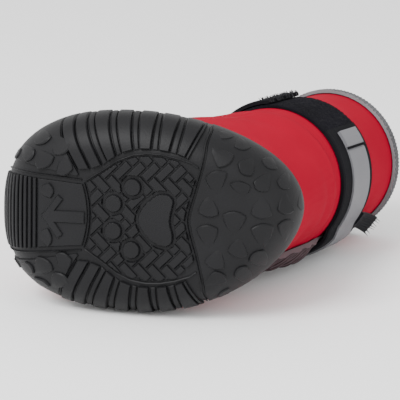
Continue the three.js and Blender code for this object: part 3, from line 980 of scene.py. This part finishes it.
# %% Loop band, strap, tape
loop_band = band(
    "loop_band_fuzz", LOOP_FROM, LOOP_TO, 0, STRAP_WIDTH,
    lambda s, u, v: np.full(u.shape, GAP),
    lambda s, u, v: GAP + LOOP_THICK * (0.55 + 0.3 * selvedge(v)) + 0.3 * cloth_noise(u, v, 60, 4),
    (260, 90), ["loop_band"], (0.7, 0.25),
)
strap = band(
    "strap_webbing", STRAP_FROM, STRAP_TO, 0, STRAP_WIDTH,
    lambda s, u, v: strap_in(s),
    lambda s, u, v: strap_in(s) + STRAP_THICK * (0.7 + 0.22 * selvedge(v)) + 0.06 * np.sin(v * 150),
    (300, 60), ["strap"], (1.25, 0.25),
)
TAPE_LOW, TAPE_WIDE, TAPE_END = 8, 12.5, 66
FOLD, TAPE_RISE = 0.06, 0.5
tape = band(
    "reflective_tape_sewn", STRAP_FROM + 0.8, TAPE_END, TAPE_LOW, TAPE_LOW + TAPE_WIDE,
    lambda s, u, v: strap_in(s) + STRAP_THICK * 0.9,
    lambda s, u, v: strap_in(s)
    + STRAP_THICK
    + TAPE_RISE
    + 0.35 * (1 - ease(FOLD - 0.008, FOLD, u))
    - 0.3 * np.exp(-(((u - FOLD - 0.004) / 0.003) ** 2)),
    (320, 24), ["reflective_tape"], (1, 0.12),
)
tape_stitch = band(
    "tape_stitch_row", STRAP_FROM + 3.1, STRAP_FROM + 3.42, TAPE_LOW, TAPE_LOW + TAPE_WIDE,
    lambda s, u, v: strap_in(s) + STRAP_THICK,
    lambda s, u, v: strap_in(s) + STRAP_THICK + 0.75 + 0.15 * np.sin(v * 55),
    (4, 60), ["reflective_tape"], (0.02, 0.12),
)

# %% [markdown]
# Hook end of the strap and the small hook tab
#
# The stiff hook tape at the strap's end has tiny hooks and a ragged cut edge. One slim cone stands for a
# hook and is copied many times: scattered at the strap's end, and in rows on the small curled tab that
# stands above the strap at the back right.


# %% Hooks
def one_hook(name):
    bpy.ops.object.select_all(action="DESELECT")
    bpy.ops.mesh.primitive_cone_add(vertices=4, radius1=0.5, radius2=0.12, depth=1, end_fill_type="NGON")
    hook = bpy.context.object
    hook.name = name
    return hook


def hook_field(name, spots, size):
    """Cones at (point, tip) pairs in boot millimetres, joined to one mesh."""
    seed_hook = one_hook(name)
    base = np.array([tuple(v.co) for v in seed_hook.data.vertices])
    faces = [tuple(p.vertices) for p in seed_hook.data.polygons]
    verts, polys = [], []
    for foot, tip in spots:
        axis = tip - foot
        length = np.linalg.norm(axis)
        axis = axis / length
        side = np.cross(axis, [0.3, 0.5, 0.8])
        side /= np.linalg.norm(side)
        other = np.cross(axis, side)
        start = len(verts)
        for x, y, z in base:
            verts.append(foot + (x * side + y * other) * size + axis * (z + 0.5) * length)
        polys += [tuple(start + k for k in f) for f in faces]
    seed_hook.data.clear_geometry()
    seed_hook.data.from_pydata([tuple(p) for p in to_scene(np.array(verts))], [], polys)
    seed_hook.data.update()
    bpy.context.view_layer.objects.active = seed_hook
    seed_hook.select_set(True)
    return finish_piece(seed_hook, name, [])


draw = np.random.default_rng(7)


def tufts(steps, ups, out, long, lean, count):
    spots = []
    for _ in range(count):
        step = draw.uniform(*steps)
        up = draw.uniform(*ups)
        foot = on_upper(np.array([step]), np.array([shaft_level(up)]), np.array([out]))[0]
        tip = on_upper(
            np.array([step + draw.normal(0, lean) / 2.4]),
            np.array([shaft_level(up + draw.normal(0, lean))]),
            np.array([out + long * draw.uniform(0.5, 1)]),
        )[0]
        spots.append((foot, tip))
    return spots


STRAP_TOP = GAP + LOOP_THICK + GAP + STRAP_THICK * 0.85
STRAP_END = STRAP_TO - SIDES
end_tufts = tufts((STRAP_END - 1.6, STRAP_END + 0.25), (0.3, 24), STRAP_TOP - 0.8, 1.9, 0.5, 240)
hook_end = hook_field("strap_hooks", end_tufts, 0.5)


TAB_FROM, TAB_WIDE = 37.4, 2.6


def tab_face(extra):
    def laid(u, v):
        level = shaft_level(STRAP_WIDTH + GAP + 0.4 + 4.5 * v)
        return on_upper(TAB_FROM + TAB_WIDE * u, level, 1.2 + 3.4 * v * v + extra)

    return laid


hook_tab = slab("hook_tab_curl", 24, 24, tab_face(0), tab_face(0.9), ["hook_tab"], (0.1, 0.1))


def tab_hooks():
    spots = []
    for u in np.linspace(0.06, 0.94, 7):
        for v in np.linspace(0.3, 0.98, 6):
            foot = tab_face(0.7)(np.array([u]), np.array([v]))[0]
            tip = tab_face(1.7)(np.array([u + draw.normal(0, 0.05)]), np.array([v + 0.12]))[0]
            spots.append((foot, tip))
    return spots


tab_tufts = hook_field("hook_tab_hooks", tab_hooks(), 0.36)

# %% [markdown]
# Braided collar binding
#
# The collar edge is bound with a folded flat braid. It is a tube-like sheet over the edge, closed
# round the shaft, with a diagonal relief pressed in its face as the strands of the braid.

# %% Make the binding
BINDING, BIND_THICK = 5, 0.92
BRAID_TURNS = 60


def make_binding():
    around, across = 360, 60
    low = shaft_level(SHAFT_HEIGHT - BINDING)
    lean = np.array([-math.sin(SHAFT_LEAN), 0, math.cos(SHAFT_LEAN)])
    run = np.array([0, BINDING, BINDING + 1.5, BINDING + 1.5 + WALL, 2 * BINDING + 3 + WALL])

    def section_at(u, v, extra):
        along = v * run[-1]
        braid = 0.3 * np.cos(2 * math.pi * (u * BRAID_TURNS + along / 1.5)) * np.cos(
            2 * math.pi * (u * BRAID_TURNS - along / 1.5)
        )
        outer_side = along < run[2]
        top = ease(run[1], run[2] + WALL / 2, along) * (1 - ease(run[2] + WALL / 2, run[3] + 1.5, along))
        up = np.where(outer_side, np.minimum(along, BINDING), np.minimum(run[-1] - along, BINDING))
        level = low + (LEVELS - low) * np.clip(up / BINDING, 0, 1)
        mix = ease(run[1], run[3] + 1.5, along)
        thick = extra * (BIND_THICK + braid)
        base = (GAP + thick) * (1 - mix) + (-WALL - GAP - thick) * mix
        point = on_upper(u * SIDES, level, base)
        return point + lean * ((GAP + thick) * top)[..., None]

    piece = slab(
        "collar_braid", around, across,
        lambda u, v: section_at(u, v, 0.0), lambda u, v: section_at(u, v, 1.0),
        ["collar_binding"], (1.5, 0.15),
    )
    return close_tube(piece)


binding = make_binding()

# %% [markdown]
# Finishes
#
# Rubber, neoprene, webbing and tape differ in colour, in how rough they are and in a fine grain. The
# grain is one shader group with its own inputs, used by each material with its own scale.


# %% Grain group
def make_grain_group():
    group = bpy.data.node_groups.new("cloth_grain", "ShaderNodeTree")
    face = group.interface
    face.new_socket("Vector", in_out="INPUT", socket_type="NodeSocketVector")
    face.new_socket("Scale", in_out="INPUT", socket_type="NodeSocketFloat")
    face.new_socket("Base", in_out="INPUT", socket_type="NodeSocketColor")
    face.new_socket("Worn", in_out="INPUT", socket_type="NodeSocketColor")
    face.new_socket("Color", in_out="OUTPUT", socket_type="NodeSocketColor")
    face.new_socket("Height", in_out="OUTPUT", socket_type="NodeSocketFloat")
    nodes, links = group.nodes, group.links
    start, end = nodes.new("NodeGroupInput"), nodes.new("NodeGroupOutput")
    fine, broad = nodes.new("ShaderNodeTexNoise"), nodes.new("ShaderNodeTexNoise")
    mix = nodes.new("ShaderNodeMix")
    mix.data_type = "RGBA"
    broad.inputs["Scale"].default_value = 90
    fine.inputs["Detail"].default_value = 4
    links.new(start.outputs["Vector"], fine.inputs["Vector"])
    links.new(start.outputs["Vector"], broad.inputs["Vector"])
    links.new(start.outputs["Scale"], fine.inputs["Scale"])
    links.new(broad.outputs["Fac"], mix.inputs["Factor"])
    links.new(start.outputs["Base"], mix.inputs["A"])
    links.new(start.outputs["Worn"], mix.inputs["B"])
    links.new(mix.outputs["Result"], end.inputs["Color"])
    links.new(fine.outputs["Fac"], end.inputs["Height"])
    return group


grain = make_grain_group()


# %% One material per finish
def finish(name, base, worn, rough, scale, bump, shine=0.25):
    material = bpy.data.materials.new(name)
    material.use_nodes = True
    nodes, links = material.node_tree.nodes, material.node_tree.links
    shader = nodes["Principled BSDF"]
    shader.inputs["Roughness"].default_value = rough
    shader.inputs["Specular IOR Level"].default_value = shine
    where = nodes.new("ShaderNodeTexCoord")
    group = nodes.new("ShaderNodeGroup")
    group.node_tree = grain
    group.inputs["Scale"].default_value = scale
    group.inputs["Base"].default_value = (*base, 1)
    group.inputs["Worn"].default_value = (*worn, 1)
    relief = nodes.new("ShaderNodeBump")
    relief.inputs["Strength"].default_value = bump
    relief.inputs["Distance"].default_value = 0.0003
    links.new(where.outputs["Object"], group.inputs["Vector"])
    links.new(group.outputs["Color"], shader.inputs["Base Color"])
    links.new(group.outputs["Height"], relief.inputs["Height"])
    links.new(relief.outputs["Normal"], shader.inputs["Normal"])
    return material


def threads(material, turn, count, dark):
    """Even dark lines across the sheet's own UV, for braid and ribbed mesh."""
    nodes, links = material.node_tree.nodes, material.node_tree.links
    shader = nodes["Principled BSDF"]
    where, turned = nodes.new("ShaderNodeTexCoord"), nodes.new("ShaderNodeMapping")
    turned.inputs["Rotation"].default_value = (0, 0, turn)
    wave, mix = nodes.new("ShaderNodeTexWave"), nodes.new("ShaderNodeMix")
    wave.inputs["Scale"].default_value = count
    wave.inputs["Distortion"].default_value = 0.6
    mix.data_type = "RGBA"
    mix.inputs["B"].default_value = (*dark, 1)
    plain = shader.inputs["Base Color"].links[0].from_socket
    links.new(where.outputs["UV"], turned.inputs["Vector"])
    links.new(turned.outputs["Vector"], wave.inputs["Vector"])
    links.new(wave.outputs["Fac"], mix.inputs["Factor"])
    links.new(plain, mix.inputs["A"])
    links.new(mix.outputs["Result"], shader.inputs["Base Color"])


def dress(target, material):
    target.data.materials.clear()
    target.data.materials.append(material)


rubber = finish("tread_rubber", (0.005, 0.005, 0.0056), (0.008, 0.008, 0.009), 0.5, 1500, 0.2, 0.16)
neoprene = finish("red_neoprene", (0.25, 0.0008, 0.014), (0.30, 0.0016, 0.018), 0.8, 2600, 0.15, 0.04)
fuzz = finish("loop_fuzz", (0.003, 0.0028, 0.004), (0.008, 0.0075, 0.011), 0.95, 3200, 0.9, 0.1)
webbing = finish("strap_cloth", (0.003, 0.003, 0.004), (0.006, 0.006, 0.008), 0.85, 2800, 0.6, 0.1)
silver = finish("reflective_grey", (0.115, 0.115, 0.124), (0.14, 0.14, 0.15), 0.45, 3600, 0.3, 0.15)
braid = finish("grey_braid", (0.07, 0.07, 0.074), (0.24, 0.24, 0.25), 0.85, 2400, 0.8)
mesh_cloth = finish("brown_mesh", (0.07, 0.05, 0.055), (0.15, 0.11, 0.118), 0.85, 2600, 0.9, 0.1)
hooks = finish("hook_plastic", (0.005, 0.005, 0.007), (0.01, 0.01, 0.013), 0.5, 1600, 0.1)
foam = finish("insole_foam", (0.03, 0.03, 0.033), (0.045, 0.045, 0.05), 0.9, 1800, 0.4)
threads(braid, 0.9, 26, (0.02, 0.02, 0.022))
threads(mesh_cloth, math.pi / 2, 34, (0.012, 0.004, 0.006))
dress(tape_stitch, webbing)
for tread in (outsole, side_ribs, tread_panels, tread_petals, paw_field):
    dress(tread, rubber)
dress(upper, neoprene)
dress(gusset, mesh_cloth)
dress(binding, braid)
dress(loop_band, fuzz)
dress(strap, webbing)
dress(tape, silver)
dress(hook_tab, hooks)
dress(tab_tufts, hooks)
dress(hook_end, hooks)
dress(insole, foam)

# %% [markdown]
# Floor, light and camera
#
# The photograph is a plain product shot: white ground, soft light from above and the left. The camera
# stands 15 degrees round toward the heel and looks at the sole a little from above.

# %% Floor and lights
bpy.ops.object.select_all(action="DESELECT")
bpy.ops.mesh.primitive_plane_add(size=8, location=(0, 0, 0))
floor = bpy.context.object
floor.name = "studio_floor"
white = bpy.data.materials.new("pale_floor")
white.use_nodes = True
white.node_tree.nodes["Principled BSDF"].inputs["Base Color"].default_value = (0.92, 0.92, 0.92, 1)
white.node_tree.nodes["Principled BSDF"].inputs["Roughness"].default_value = 0.9
floor.data.materials.append(white)

world = bpy.data.worlds.new("studio") if bpy.context.scene.world is None else bpy.context.scene.world
bpy.context.scene.world = world
world.use_nodes = True
world.node_tree.nodes["Background"].inputs["Color"].default_value = (1, 1, 1, 1)
world.node_tree.nodes["Background"].inputs["Strength"].default_value = 1.5


def softbox(name, spot, size, watts):
    light = bpy.data.lights.new(name, "AREA")
    light.size, light.energy = size, watts
    lamp = bpy.data.objects.new(name, light)
    bpy.context.scene.collection.objects.link(lamp)
    lamp.location = spot
    aim = np.array([0, -0.02, 0.03]) - np.array(spot)
    lamp.rotation_euler = Vector(aim).to_track_quat("-Z", "Y").to_euler()


softbox("key", (-0.35, -0.7, 0.8), 0.5, 14)
softbox("fill", (0.7, -0.6, 0.35), 0.8, 3)

# %% Camera
AZIMUTH, ELEVATION = math.radians(15), math.radians(14.55)
FOCAL_PX, FRAME_PX = 2000, 400
OFFSET_MM = np.array([2.63, -21.73, 650.2])
back = np.array([
    math.sin(AZIMUTH) * math.cos(ELEVATION),
    -math.cos(AZIMUTH) * math.cos(ELEVATION),
    math.sin(ELEVATION),
])
up = np.array([0, 0, 1]) - back[2] * back
up /= np.linalg.norm(up)
right = np.cross(up, back)
camera_data = bpy.data.cameras.new("photo_camera")
camera_data.sensor_width = 36
camera_data.lens = 36 * FOCAL_PX / FRAME_PX
camera = bpy.data.objects.new("photo_camera", camera_data)
bpy.context.scene.collection.objects.link(camera)
camera.location = (back * OFFSET_MM[2] - right * OFFSET_MM[0] - up * OFFSET_MM[1]) / 1000
camera.rotation_euler = Matrix((right, up, back)).transposed().to_euler()
camera_data.clip_start = 0.01
bpy.context.scene.camera = camera
print("camera at", [round(k, 3) for k in camera.location])
